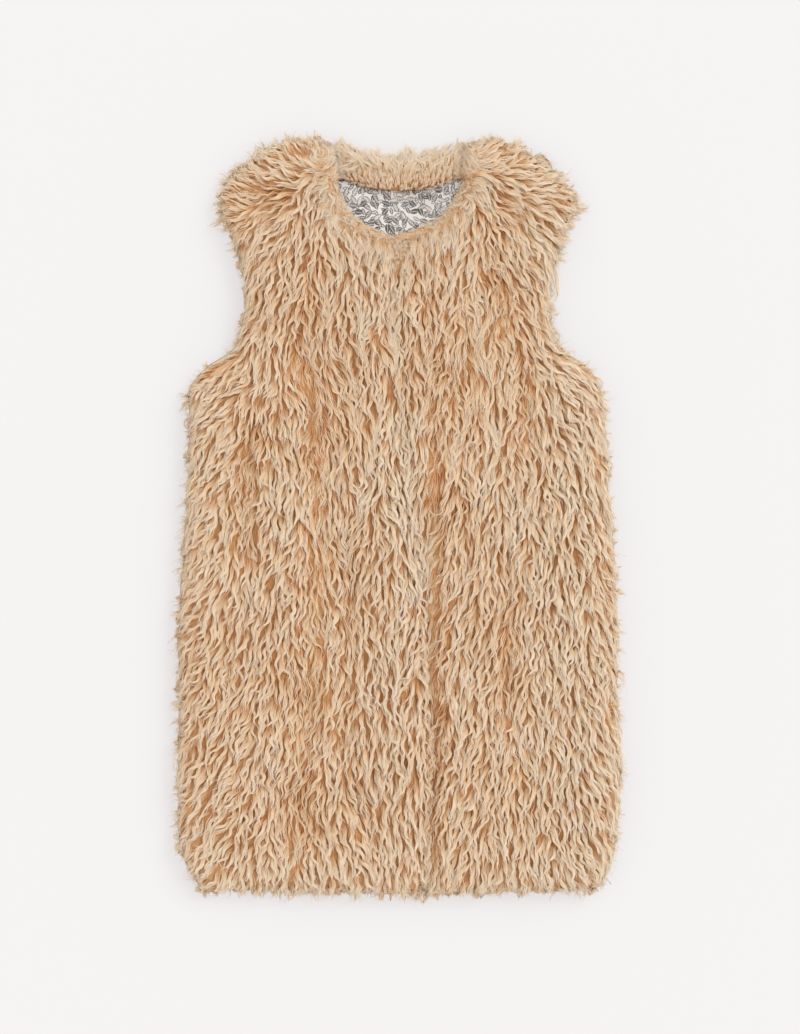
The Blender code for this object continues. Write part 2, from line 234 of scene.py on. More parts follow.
bm = merged_copy("back_lining")
bmesh.ops.subdivide_edges(bm, edges=bm.edges[:], cuts=1, use_grid_fill=True)
for vert in bm.verts:
    x, y, _ = vert.co
    across, slanted, down = LINING_TURNS
    vert.co.z += LINING_WAVE * math.sin(x * across + y * slanted) * math.sin(y * down)
lining = shape("lining_back", bm, satin)
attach(lining, "root")
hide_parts("back_lining")

# The fur's backing and underfur.
# Each panel is a knitted backing from which a dense matted underfur stands. It fills the panel's wall to
# where the long locks part, so it shows only as the deep orange-brown between them, and as pale fluff at the
# outline and the neck.
DEEP_COLOURS = ("#B27640", "#DCB082")
FLUFF_COLOURS = ("#E2B488", "#F4DEBE")
MAT_SIZE = 2.5 * MM  # size of the matted clumps
UNDERFUR_SHARE = 0.74  # of the front's height over the lining
UNDERFUR_INSET = 9 * MM  # from the fur's edge
INSET_FADE = 30 * MM
LINING_LEVEL = 17.3 * MM
RIM_LEVEL = 16.2 * MM
BACK_LEVEL = 15.7 * MM
UNDERSIDE_LIFT = 3 * MM  # room for the flattened pile underneath
ROLL_SHARE = 0.55  # of the roll's height behind the neck


def inset_rim(bm, rim):
    """Draws the outer edge of a panel inwards, and leaves its neck and its opening where they are."""
    tree = KDTree(len(rim))
    for k, point in enumerate(rim):
        tree.insert((point.x, point.y, 0), k)
    tree.balance()
    bm.normal_update()
    moves = []
    for vert in bm.verts:
        _, _, away = tree.find((vert.co.x, vert.co.y, 0))
        t = min(away / INSET_FADE, 1.0)
        flat_normal = Vector((vert.normal.x, vert.normal.y, 0))
        moves.append(flat_normal * -UNDERFUR_INSET * (1 - t * t * (3 - 2 * t)))
    for vert, move in zip(bm.verts, moves):
        vert.co += move


# dull felted polyester: it scatters the light in its own warm colour and has no gloss
underfur, tree, output = new_material("matted_underfur")
place = add(tree, "ShaderNodeTexCoord").outputs["Object"]
long_way = add(tree, "ShaderNodeMapping", {"Vector": place, "Scale": (1.0, 0.3, 1.0)})
fibres = add(tree, NOISE, {"Vector": long_way, "Scale": 1 / MAT_SIZE, "Detail": 4.0})
deep, fluff = [
    add(tree, MIX, {"Factor": fibres, 6: linear(low), 7: linear(high)}, data_type="RGBA").outputs[2]
    for low, high in (DEEP_COLOURS, FLUFF_COLOURS)
]
pale = add(tree, "ShaderNodeAttribute", attribute_name="pale").outputs["Fac"]
colour = add(tree, MIX, {"Factor": pale, 6: deep, 7: fluff}, data_type="RGBA").outputs[2]
relief = add(tree, "ShaderNodeBump", {"Height": fibres, "Strength": 0.8, "Distance": 2 * MM})
looks = {"Base Color": colour, "Roughness": 0.9, "Normal": relief, "Specular IOR Level": 0.2}
finish = add(tree, "ShaderNodeBsdfPrincipled", looks)
tree.links.new(finish.outputs["BSDF"], output.inputs["Surface"])

bases = {}
for node in ("front_right", "front_left", "back"):
    bm = merged_copy(node)
    if node == "back":
        rim = [v.co.copy() for v in bm.verts if 5 * MM < v.co.z < 10 * MM]
        inset_rim(bm, rim)
        for vert in bm.verts:
            z = vert.co.z
            roll = ROLL_SHARE * max(0.0, z - BACK_LEVEL)
            vert.co.z = UNDERSIDE_LIFT + min(z, BACK_LEVEL) * (1 - UNDERSIDE_LIFT / BACK_LEVEL) + roll
    else:
        rim = [v.co.copy() for v in bm.verts if v.co.z < RIM_LEVEL]
        inset_rim(bm, rim)
        for vert in bm.verts:
            if vert.co.z > LINING_LEVEL:
                vert.co.z = LINING_LEVEL + (vert.co.z - LINING_LEVEL) * UNDERFUR_SHARE
    bm.normal_update()
    bases[node] = shape(f"underfur_{node}", bm, underfur)
    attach(bases[node], "root")
    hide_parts(node)

# How the pile lies.
# The fur is brushed down the vest and spreads to its sides. At each shoulder it turns out from a crown beside
# the neck, and behind the neck it stands up.
COMB = [  # x and y in mm, and the lean from straight down the vest to the picture's right, in degrees
    # left shoulder
    (-178, 410, -118), (-190, 428, -135), (-212, 396, -105), (-206, 332, -52), (-155, 434, -145),
    (-125, 444, -165), (-96, 440, 170), (-206, 378, -95), (-200, 350, -60),
    (-165, 404, -115), (-148, 414, -140), (-120, 400, -60), (-96, 392, -15), (-84, 380, 5), (-155, 372, -50),
    (-172, 350, -35), (-135, 350, -30), (-108, 350, -10), (-66, 354, 25), (-40, 332, 20), (-12, 322, 0),
    # left chest and armhole
    (-186, 320, -15), (-192, 284, -15), (-186, 248, -20), (-175, 218, -25), (-130, 272, -10), (-84, 260, 0),
    (-36, 260, 0), (-210, 182, -50), (-240, 164, -60), (-246, 140, -45), (-220, 140, -40), (-190, 164, -25),
    (-156, 200, -8), (-122, 205, 0), (-106, 182, 25), (-84, 158, 30), (-60, 140, 15), (-30, 140, 0),
    # left side
    (-252, 92, -35), (-210, 92, -20), (-160, 92, -5), (-120, 92, 8), (-78, 92, 8), (-36, 92, 0),
    (-258, 20, -38), (-222, 20, -22), (-180, 20, -8), (-120, 20, 0), (-60, 20, 0), (-18, 20, 0),
    (-262, -64, -35), (-222, -64, -22), (-168, -64, -10), (-108, -64, 0), (-60, -64, 5), (0, -64, 0),
    (-258, -160, -32), (-204, -160, -18), (-144, -160, -5), (-84, -160, 8), (-20, -160, 0),
    (-262, -256, -38), (-216, -256, -25), (-156, -256, -8), (-102, -256, -20), (-60, -268, 5), (-10, -290, 3),
    (-258, -364, -42), (-222, -376, -32), (-168, -388, -8), (-120, -400, 0), (-72, -400, 6), (-30, -400, 20),
    (-240, -436, -30), (-120, -448, 0), (0, -448, 0),
    # right shoulder
    (61, 438, 172), (96, 442, 155), (120, 438, 142), (146, 430, 130), (176, 414, 116), (202, 396, 100),
    (206, 374, 86), (198, 346, 72), (190, 318, 55), (184, 286, 45), (150, 400, 90), (170, 372, 72),
    (120, 404, 75), (144, 386, 60), (156, 362, 45), (108, 380, 40),
    (94, 392, 15), (78, 374, -10), (84, 350, -15), (66, 338, -5), (120, 350, 15), (138, 332, 20),
    # right chest and armhole
    (174, 308, 30), (168, 272, 25), (174, 242, 30), (120, 272, 5), (72, 272, 0), (24, 272, 0), (36, 320, 0),
    (192, 194, 45), (222, 176, 60), (228, 146, 45), (240, 116, 35), (204, 152, 25), (168, 164, 8),
    (120, 164, 0), (60, 164, 0), (18, 164, 0),
    # right side
    (246, 56, 18), (216, 56, 10), (168, 56, 0), (96, 56, -5), (48, 56, -5),
    (250, -40, 20), (204, -40, 8), (144, -40, 0), (84, -40, -8), (46, -40, -20),
    (258, -124, 25), (216, -124, 5), (156, -124, -3), (96, -124, -5), (56, -136, -30),
    (262, -220, 20), (216, -220, 5), (156, -220, 0), (96, -220, -5), (48, -220, -12),
    (258, -316, 22), (216, -316, 8), (156, -316, 0), (96, -316, -10), (48, -328, -15),
    (252, -400, 25), (216, -400, 8), (144, -400, 0), (84, -412, -5), (36, -424, 0), (234, -436, 28),
]
COMB_SPREAD = 26 * MM
NECK_SEAM_SHAPE = (411.6, 20.0, 78.0)  # height at the ends, drop in the middle and half length, in mm


def neck_seam(x):
    """Where the seam behind the neck runs, as Y for an X, both in metres."""
    top, drop, half = NECK_SEAM_SHAPE
    return (top - drop * np.clip(1 - (x / MM / half) ** 2, 0, 1)) * MM


def fanned(points, spread, up):
    """Flat vectors that point up the vest and spread to its sides."""
    across = points[:, 0]
    return np.stack([across * spread, np.full(len(points), up), 0 * across], axis=1)


def comb(points):
    """The way that the pile lies at each point, as flat unit vectors."""
    table = np.array(COMB, float)
    lean = np.radians(table[:, 2])
    away = ((points[:, None, :2] - table[None, :, :2] * MM) ** 2).sum(axis=2)
    weight = np.exp(-away / (2 * COMB_SPREAD**2)) + 1e-9 / (away + 1e-6)
    flow = np.stack([weight @ np.sin(lean), weight @ -np.cos(lean), 0 * weight[:, 0]], axis=1)
    behind = (points[:, 1] > neck_seam(points[:, 0])) & (np.abs(points[:, 0]) < NECK_SEAM_SHAPE[2] * MM)
    flow[behind] = fanned(points[behind], 2.0, 0.3)
    return unit(flow)


def unit(vectors):
    """Vectors made one long."""
    return vectors / np.maximum(np.linalg.norm(vectors, axis=-1, keepdims=True), 1e-9)


# Where the pile is darker, lighter or looser.
# Along the panels' folds the pile's colour holds painted shade in the valleys and painted light where it
# faces the light. Towards the outline and the neck it loosens into pale fluff.
FOLD_LIGHT_AND_SHADE = [  # a fold's three points in mm, its change of tone (painted shade below 0, painted light above), and half its width in mm
    (43, 100, 46, -140, 42, -410, -0.38, 9),
    (30, 330, 34, 220, 42, 100, -0.10, 12),
    (-6, 70, -2, -120, -10, -310, 0.16, 24),
    (-98, 60, -100, -150, -116, -400, -0.20, 13),
    (-58, -60, -60, -169, -67, -275, -0.20, 10),
    (-124, 204, -112, 150, -96, 90, -0.28, 10),
    (-175, 100, -182, 23, -185, -55, -0.22, 11),
    (-206, -110, -200, -170, -190, -210, -0.18, 11),
    (130, -45, 130, -145, 127, -225, -0.24, 10),
    (80, 20, 84, -60, 80, -150, -0.12, 9),
    (150, 170, 151, 135, 152, 100, -0.26, 12),
    (118, 284, 122, 262, 124, 242, -0.24, 12),
    (-158, 388, -154, 380, -146, 368, -0.40, 10),
    (128, 380, 131, 370, 136, 358, -0.34, 9),
    (-54, -320, -42, -352, -30, -390, -0.20, 11),
    (-134, -330, -132, -370, -128, -410, -0.16, 12),
    (-140, 30, -132, -40, -130, -110, 0.10, 22),
    (206, 100, 214, -100, 216, -380, 0.18, 34),
    (188, 400, 192, 300, 200, 120, 0.16, 30),
    (-101, 272, -98, 0, -104, -260, -0.08, 34),
    (84, 350, 88, 220, 84, 80, -0.10, 32),
    (-230, -428, 0, -434, 230, -428, 0.20, 26),
    (-110, 190, 0, 160, 110, 190, -0.08, 70),
]
FOLD_LIGHT_AND_SHADE_POWER = 1.2
LOOSE_WIDE = 17 * MM
NECK_CENTRE = (0.0, 0.40)


def waver(points, seed, long):
    """A smooth random field over the plan, mostly between -1.5 and 1.5, whose waves are about this long."""
    luck = np.random.default_rng(seed)
    total = np.zeros(len(points))
    for _ in range(8):
        way, phase = luck.uniform(0, 2 * np.pi, 2)
        across = points[:, 0] * np.cos(way) + 0.6 * points[:, 1] * np.sin(way)
        total += 0.5 * np.sin(2 * np.pi * across / (long * luck.uniform(0.7, 1.5)) + phase)
    return total


def plan_edge(node, chosen):
    """A search tree over the plan of a node's edge, with each point's place and its normal laid flat."""
    bm = merged_copy(node)
    bm.normal_update()
    places, normals = [], []
    for edge in bm.edges:
        one, two = edge.verts
        if chosen(one) and chosen(two):
            steps = max(1, int((one.co - two.co).length / (2 * MM)))
            for k in range(steps):
                share = k / steps
                places.append(one.co.lerp(two.co, share)[:2])
                normals.append(one.normal.lerp(two.normal, share)[:2])
    bm.free()
    tree = KDTree(len(places))
    for k, place in enumerate(places):
        tree.insert((*place, 0), k)
    tree.balance()
    return tree, np.array(places), unit(np.array(normals))


def beyond(edge, points):
    """How far outside an edge each point is in plan, less than zero when inside."""
    tree, places, normals = edge
    found = np.array([tree.find((p[0], p[1], 0))[1] for p in points.reshape(-1, 3)])
    out = ((points.reshape(-1, 3)[:, :2] - places[found]) * normals[found]).sum(axis=1)
    far = np.linalg.norm(points.reshape(-1, 3)[:, :2] - places[found], axis=1)
    return (np.sign(out) * far).reshape(points.shape[:-1])


def on_neck(vert):
    """Whether a front's vertex is on its neckline's wall, which faces the middle of the neck."""
    x, y, _ = vert.co
    facing = vert.normal.x * -x + vert.normal.y * (NECK_CENTRE[1] - y)
    return y > 0.3 and abs(x) < 0.095 and vert.normal.z < 0.9 and facing > 0.01


OUTLINE = plan_edge("back", lambda v: 5 * MM < v.co.z < 10 * MM)
NECK_EDGES = [plan_edge(node, on_neck) for node in ("front_right", "front_left")]


def looseness(points):
    """From 0 in the body of the pile to 1 at the outline and the neck."""
    near = -beyond(OUTLINE, points)
    for edge in NECK_EDGES:
        near = np.minimum(near, np.abs(beyond(edge, points)))
    return np.exp(-((np.maximum(near, 0) / LOOSE_WIDE) ** 2))


def fold_light_and_shade(points):
    """The folds' painted shade and light, as a change of tone at each point."""
    total = np.zeros(len(points))
    for x0, y0, x1, y1, x2, y2, tone, wide in FOLD_LIGHT_AND_SHADE:
        away = np.full(len(points), 1e9)
        for start, end in (((x0, y0), (x1, y1)), ((x1, y1), (x2, y2))):
            start, end = np.array(start) * MM, np.array(end) * MM
            along = ((points[:, :2] - start) @ (end - start)) / ((end - start) ** 2).sum()
            foot = start + np.clip(along, 0, 1)[:, None] * (end - start)
            away = np.minimum(away, np.linalg.norm(points[:, :2] - foot, axis=1))
        total += FOLD_LIGHT_AND_SHADE_POWER * tone * np.exp(-((away / (wide * MM)) ** 2))
    return total


for node, base in bases.items():
    places = np.array([v.co for v in base.data.vertices])
    pale = looseness(places)
    if node == "back":
        pale = np.maximum(pale, np.clip((places[:, 1] - neck_seam(places[:, 0])) / (26 * MM), 0, 1))
    base.data.attributes.new("pale", "FLOAT", "POINT").data.foreach_set("value", pale.astype(np.float32))

# The long pile.
# Polyester fibres, crimped in waves and gathered in locks that overlap down the vest like shingles. A lock is
# two broad strands under four fine ones, which wave together and draw to a few thin curled tips.
POINTS = 16
HIDDEN = 0.2  # the first part of a strand, which takes one segment
LOCK_LONG = (32 * MM, 52 * MM)
LOCK_RADIUS = 3.1 * MM
LOCK_TIP_SHARE = 0.22
LOCK_WAVE = (0.3 * MM, 2.5 * MM)
WAVE_LONG = 19 * MM
LOCK_SWERVE = math.radians(8)
DRIFT = math.radians(7)  # how far neighbouring locks turn together
TIP_HOOK = 7 * MM
PILE_DEPTH = 9 * MM
PEAKS = (0.5, 1.25)  # shares of the depth that the locks rise to
VALLEY = 2.2  # how much lower they lie in a dark fold
DRIFTS = ((0.7, 3, 70 * MM), (1.3, 4, 30 * MM))  # how strong each drift is, its seed and its length
HANG = 0.35  # how far the pile on the vest's sides hangs down
HOLD = 0.6  # how much of the way to its height a lock goes from one point to the next
EDGE_PAST = (-3 * MM, 12 * MM)  # how far past the outline the locks end
SHOULDER_PAST = 7 * MM  # how much farther they reach at the shoulders
SHOULDER_FROM = 0.25
SHOULDER_FADE = 0.1
NECK_PAST = (-4 * MM, 0.5 * MM)  # how far past the front's neckline the locks end
NECK_HALF = 0.1
NECK_FROM = 0.28
BODY_WIDE = (3.2 * MM, 5.4 * MM)
FINE_WIDE = (0.7 * MM, 1.3 * MM)
STRAND_PROFILE = ((0, 0.25, 0.7, 1), (0.6, 1.0, 0.75, 0.0))  # its width along its length
BODY_REACH = (0.55, 0.8)  # of the lock's length
FINE_REACH = (0.7, 0.97)
STRAY_REACH = (0.9, 1.0)
STRAYS = (0.1, 0.2)  # share of the fine strands that stray, and how much more where the pile is loose
BODY_TONES = (0.54, 0.08)  # mean and spread
FINE_TONES = (0.84, 0.13)
LOCK_TONE = 0.05
BRIGHT_SHARE = 0.10  # of the locks are paler
BRIGHT_TONE = 0.16
EDGE_TONE = 0.16  # how much paler the loose pile is
PATCH_TONE = 0.06
PATCH_LONG = 80 * MM
FOLD_LIGHT_AND_SHADE_ON = (1.2, 0.6)  # how much of a fold's painted shade and light the broad and the fine strands take
FOLD_SHADE_FADE = 0.6  # how far a dark fold's strands keep the colour of their roots, as more painted shade
STRAND_SIDE_SHADE = (0.04, 0.012)  # painted shade across a strand, one edge darker and the other paler than its middle, which also gives its map a width; broad and fine
FLOOR_CLEAR = 1.0 * MM
NORMAL_SHARE = 0.82  # how far a strand is lit as the pile's surface is, since fine fibres scatter light round
ROUNDED = 0.35  # how far the light rolls round a strand from edge to edge
STRAND_TURN = 0.3  # spread of the strands' own turns, in radians
STRAND_TURN_MOST = 0.35
LIT_UP = (0.5, 1.0)  # how far the strands' fronts turn up, and how much more where the pile is loose
TUFT = 15 * MM  # spacing of the tufts that the locks' tips gather in
TUFT_PULL = 0.4
TUFT_TONE = 0.06

luck = np.random.default_rng(13)
tuft_places = luck.uniform((-0.29, -0.48), (0.29, 0.48), (int(0.58 * 0.96 / TUFT**2), 2))
tuft_tones = luck.normal(0, TUFT_TONE, len(tuft_places))
tufts = KDTree(len(tuft_places))
for k, place in enumerate(tuft_places):
    tufts.insert((*place, 0), k)
tufts.balance()


def surface_of(*pieces):
    """One search tree over the pieces' faces."""
    verts, faces = [], []
    for piece in pieces:
        start = len(verts)
        verts += [v.co.copy() for v in piece.data.vertices]
        faces += [[start + k for k in p.vertices] for p in piece.data.polygons]
    return BVHTree.FromPolygons(verts, faces)


def nearest(surface, points):
    """The nearest surface point and its normal for each point."""
    found = [surface.find_nearest(Vector(p)) for p in points]
    return np.array([f[0] for f in found]), np.array([f[1] for f in found])


def roots_on(piece, count, rng, keep):
    """Points spread over a piece's faces by area, where keep(centre, normal) is true."""
    mesh = piece.data
    mesh.calc_loop_triangles()
    corners = np.zeros(len(mesh.vertices) * 3)
    mesh.vertices.foreach_get("co", corners)
    index = np.zeros(len(mesh.loop_triangles) * 3, int)
    mesh.loop_triangles.foreach_get("vertices", index)
    tri = corners.reshape(-1, 3)[index.reshape(-1, 3)]
    across = np.cross(tri[:, 1] - tri[:, 0], tri[:, 2] - tri[:, 0])
    area = np.linalg.norm(across, axis=1)
    kept = keep(tri.mean(axis=1), unit(across))
    tri, area = tri[kept], area[kept]
    edges = np.cumsum(area) / area.sum()
    chosen = np.searchsorted(edges, (np.arange(count) + rng.random(count)) / count).clip(0, len(tri) - 1)
    one, two, three = (tri[chosen, k] for k in range(3))
    a, b = rng.random(count), rng.random(count)
    fold = a + b > 1
    a[fold], b[fold] = 1 - a[fold], 1 - b[fold]
    return one + a[:, None] * (two - one) + b[:, None] * (three - one)


def turned(flow, angle):
    """Flat vectors turned about Z."""
    sin, cos = np.sin(angle), np.cos(angle)
    x, y, z = flow.T
    return np.stack([x * cos - y * sin, x * sin + y * cos, z], axis=1)


def lock_lines(
    surface, roots, rng, long, depth, lie=comb, swerve=LOCK_SWERVE, past=EDGE_PAST, neck=None, calm=0.0
):
    """Each lock's centre line and the surface normal along it: it rises from its root and then lies down."""
    count = len(roots)
    step = rng.uniform(*long, count) / (POINTS - 1)
    peak = depth * rng.uniform(*PEAKS, count) * (1 + VALLEY * np.minimum(fold_light_and_shade(roots), 0.1))
    angle = rng.normal(0, swerve, count)
    _, normal = nearest(surface, roots)
    at, heading = roots.copy(), turned(lie(roots), angle)
    lines, normals = [at], [normal]
    for k in range(1, POINTS):
        s = k / (POINTS - 1)
        drift = sum(strong * waver(at, seed, wave) for strong, seed, wave in DRIFTS)
        flow = turned(lie(at), angle + (1 - calm) * DRIFT * drift)
        level = np.clip(normal[:, 2:] * 1.4, 0.15, 1.0)  # 1 on the vest's top and less down its sides
        flow = flow - normal * (flow * normal).sum(axis=1, keepdims=True) * 0.8 * level
        flow[:, 2] -= HANG * (1 - np.abs(normal[:, 2]))
        heading = unit(0.5 * heading + 0.5 * unit(flow))
        at = at + heading * step[:, None]
        near, face = nearest(surface, at)
        out = at - near
        sign = np.where((out * face).sum(axis=1) < 0, -1.0, 1.0)
        height = sign * np.linalg.norm(out, axis=1)
        away = np.where((np.abs(height) > 1 * MM)[:, None], unit(out) * sign[:, None], face)
        normal = unit(0.5 * normal + 0.5 * away)
        want = peak * (1 - (1 - s) ** 2.5)  # it rises fast from the root
        hold = np.where(height < want, HOLD, HOLD * level[:, 0])
        at = at + away * ((want - height) * hold)[:, None]
        at[:, 2] = np.maximum(at[:, 2], FLOOR_CLEAR * 2)
        lines.append(at)
        normals.append(normal)
    centre, normal = np.stack(lines, axis=1), np.stack(normals, axis=1)
    # a lock that leaves the outline ends a little past it
    out = beyond(OUTLINE, centre)
    limit = (past[0] + (past[1] - past[0]) * rng.random(count) ** 2)[:, None]
    limit = limit + SHOULDER_PAST * np.clip((centre[..., 1] - SHOULDER_FROM) / SHOULDER_FADE, 0, 1)
    crossed = out > limit
    if neck:
        over = beyond(neck, centre)
        near = (np.abs(centre[..., 0]) < NECK_HALF) & (centre[..., 1] > NECK_FROM)
        crossed |= near & (over > rng.uniform(*NECK_PAST, count)[:, None]) & (over < 30 * MM)
    crossed &= np.arange(POINTS) > POINTS // 4
    first = np.where(crossed.any(axis=1), crossed.argmax(axis=1), POINTS - 1)
    share = np.linspace(0, 1, POINTS)[None, :] * first[:, None]
    low = np.minimum(share.astype(int), POINTS - 2)
    part = (share - low)[..., None]
    rows = np.arange(count)[:, None]
    centre = centre[rows, low] * (1 - part) + centre[rows, low + 1] * part
    normal = unit(normal[rows, low] * (1 - part) + normal[rows, low + 1] * part)
    return centre, normal


def pile(
    name, lines, rng, body=2, fine=4, wave=LOCK_WAVE, size=1.0, thick=0.55, tone=0.0, loose=0.0, calm=0.0,
    steps=10,
):
    """Locks of strands on the lines, as one mesh. Its map gives a strand's tone across and its length up."""
    centre, normal = lines
    count, strands = len(centre), body + fine
    middle = centre[:, POINTS // 2]
    loose = np.clip(looseness(middle) + loose, 0, 1)
    s = np.linspace(0, 1, POINTS)
    tangent = unit(np.gradient(centre, axis=1))
    side = unit(np.cross(tangent, normal))
    length = np.linalg.norm(np.diff(centre, axis=1), axis=2).sum(axis=1)
    # neighbouring locks wave together, and their tips gather in tufts
    run = (centre[:, 0] * tangent[:, POINTS // 3]).sum(axis=1)
    turns = length / (WAVE_LONG * rng.uniform(0.75, 1.5, count))
    phase = 2 * np.pi * run / WAVE_LONG + 2.0 * waver(middle, 5, 50 * MM) + rng.normal(0, 1.0, count)
    swing = rng.uniform(*wave, count)[:, None] * np.minimum(1, 0.25 + 1.6 * s)
    tuft = np.array([tufts.find((p[0], p[1], 0))[1] for p in middle])
    to_tuft = np.concatenate([tuft_places[tuft] - middle[:, :2], np.zeros((count, 1))], axis=1)
    pull = (to_tuft * side[:, POINTS // 2]).sum(axis=1)[:, None] * (1 - calm) * TUFT_PULL * s**1.2
    centre = centre + side * pull[..., None]
    angle = 2 * np.pi * turns[:, None] * s + phase[:, None]
    hook = (rng.uniform(-1, 1, count) * (1 - 0.7 * calm) * TIP_HOOK)[:, None] * s**3
    centre = centre + side * (swing * np.sin(angle) + hook)[..., None]
    centre = centre + normal * (0.35 * swing * np.cos(angle) * s)[..., None]
    # strands
    s = np.concatenate([[0], np.linspace(HIDDEN, 1, steps - 1)])
    which = np.repeat(np.arange(count), strands)
    broad = np.tile(np.arange(strands) < body, count)
    total = len(which)
    stray = (rng.random(total) < STRAYS[0] + STRAYS[1] * loose[which]) & ~broad
    reach = np.where(broad, rng.uniform(*BODY_REACH, total), rng.uniform(*FINE_REACH, total))
    reach = np.where(stray, rng.uniform(*STRAY_REACH, total), reach)
    along = reach[:, None] * s * (POINTS - 1)
    low = np.minimum(along.astype(int), POINTS - 2)
    part = (along - low)[..., None]
    rows = which[:, None]
    line = centre[rows, low] * (1 - part) + centre[rows, low + 1] * part
    across = side[rows, low] * (1 - part) + side[rows, low + 1] * part
    up = normal[rows, low] * (1 - part) + normal[rows, low + 1] * part
    spot = np.sqrt(rng.random(total)) * np.where(stray, 1.7, 1.0) * np.where(broad, 0.6, 1.0)
    around = np.where(broad, rng.uniform(np.pi, 2 * np.pi, total), rng.uniform(-0.4, np.pi + 0.4, total))
    twist = np.repeat(rng.uniform(-1.4, 1.4, count), strands)
    tip_share = (LOCK_TIP_SHARE + 0.55 * loose[which])[:, None]
    draw = tip_share + (1 - tip_share) * (1 - s) ** 1.2
    wide = size * LOCK_RADIUS * spot[:, None] * np.where(stray[:, None], 0.5 + 0.5 * draw, draw)
    spin = around[:, None] + twist[:, None] * s
    line = line + across * (wide * np.cos(spin))[..., None] + up * (thick * wide * np.sin(spin))[..., None]
    own = rng.uniform(0.3, 1.3, total) * MM * np.where(stray, 2.0, 1.0) * np.where(broad, 0.5, 1.0)
    own_angle = 2 * np.pi * rng.uniform(1.0, 2.4, total)[:, None] * s
    own_angle = own_angle + rng.uniform(0, 2 * np.pi, total)[:, None]
    curl = rng.normal(0, 1.0, total) * (1.2 + 3.0 * loose[which]) * (1 - 0.7 * calm) * MM * ~broad
    curl = curl[:, None] * s**3
    line = line + across * (own[:, None] * s * np.sin(own_angle) + curl)[..., None]
    line = line + up * (own[:, None] * s * np.cos(own_angle) * 1.3 * thick)[..., None]
    # each strand turns its front to the light that falls on the pile there
    direction = unit(np.gradient(line, axis=1))
    turn = np.clip(rng.normal(0, STRAND_TURN, total), -STRAND_TURN_MOST, STRAND_TURN_MOST)[:, None, None]
    lit = up.copy()
    lit[..., 2] += LIT_UP[0] + LIT_UP[1] * loose[which][:, None]
    lit = unit(lit)
    flat = unit(np.cross(direction, lit))
    flat = unit(flat * np.cos(turn) + np.cross(direction, flat) * np.sin(turn))
    width = np.where(broad, rng.uniform(*BODY_WIDE, total), rng.uniform(*FINE_WIDE, total))
    width = size * width * np.where(broad, 1 - 0.4 * loose[which], 1 - 0.2 * loose[which])
    width = width * np.where(stray, 0.8, 1.0)
    front = np.cross(flat, direction)
    flat = flat * np.where((front * lit).sum(axis=(1, 2)) < 0, -1, 1)[:, None, None]
    soft_normal = (1 - NORMAL_SHARE) * np.cross(flat, direction) + NORMAL_SHARE * lit
    half = flat * (0.5 * width[:, None] * np.interp(s, *STRAND_PROFILE))[..., None]
    # mesh: two edges and one tip
    edge_points = np.stack([line - half, line + half], axis=2)[:, :-1].reshape(total, -1, 3)
    points = np.concatenate([edge_points, line[:, -1:]], axis=1)
    points[..., 2] = np.maximum(points[..., 2], 0.3 * FLOOR_CLEAR)
    per = points.shape[1]
    quads = np.array([[2 * k, 2 * k + 1, 2 * k + 3, 2 * k + 2] for k in range(steps - 2)])
    loops = np.concatenate([quads.ravel(), [per - 3, per - 2, per - 1]])
    sizes = np.array([4] * len(quads) + [3])
    mesh = bpy.data.meshes.new(name)
    mesh.vertices.add(total * per)
    mesh.vertices.foreach_set("co", points.ravel())
    mesh.loops.add(total * len(loops))
    every = (np.arange(total)[:, None] * per + loops).ravel()
    mesh.loops.foreach_set("vertex_index", every)
    mesh.polygons.add(total * len(sizes))
    starts = np.concatenate([[0], np.cumsum(sizes)[:-1]])
    mesh.polygons.foreach_set("loop_start", (np.arange(total)[:, None] * len(loops) + starts).ravel())
    mesh.update(calc_edges=True)
    mesh.shade_smooth()
    splay = ROUNDED * flat[:, :-1]
    pairs = np.stack([soft_normal[:, :-1] - splay, soft_normal[:, :-1] + splay], axis=2).reshape(total, -1, 3)
    every_normal = unit(np.concatenate([pairs, soft_normal[:, -1:]], axis=1))
    mesh.normals_split_custom_set_from_vertices(every_normal.reshape(-1, 3))
    # tone, with the folds' painted shade and light and random patches
    band = fold_light_and_shade(middle) + PATCH_TONE * waver(middle, 11, PATCH_LONG)
    lock_tone = EDGE_TONE * loose + rng.normal(0, LOCK_TONE, count) + tuft_tones[tuft] + tone
    lock_tone += BRIGHT_TONE * (rng.random(count) < BRIGHT_SHARE)
    shade = np.where(broad, rng.normal(*BODY_TONES, total), rng.normal(*FINE_TONES, total))
    shade += lock_tone[which] + np.where(broad, *FOLD_LIGHT_AND_SHADE_ON) * band[which]
    shade = np.clip(shade, 0.06, 0.94)
    # painted shade across each strand: one edge is darker and the other paler than its middle
    edge_side = np.tile([-1, 1], steps - 1)
    u = np.concatenate([np.broadcast_to(edge_side, (total, per - 1)), np.zeros((total, 1))], axis=1)
    u = np.clip(u * np.where(broad, *STRAND_SIDE_SHADE)[:, None] + shade[:, None], 0.001, 0.999)
    v = np.concatenate([np.repeat(s[:-1], 2), [1.0]])
    fade = np.clip(1 + FOLD_SHADE_FADE * np.minimum(band, 0), 0.4, 1)[which]
    v = np.broadcast_to(v, (total, per)) * (fade * reach**0.5)[:, None]
    uv = np.stack([u, v], axis=2).reshape(-1, 2)[every]
    mesh.uv_layers.new(name="OFBake").data.foreach_set("uv", uv.astype(np.float32).ravel())
    mesh.materials.append(crimped_fibre)
    piece = bpy.data.objects.new(name, mesh)
    bpy.context.scene.collection.objects.link(piece)
    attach(piece, "root")
    return piece
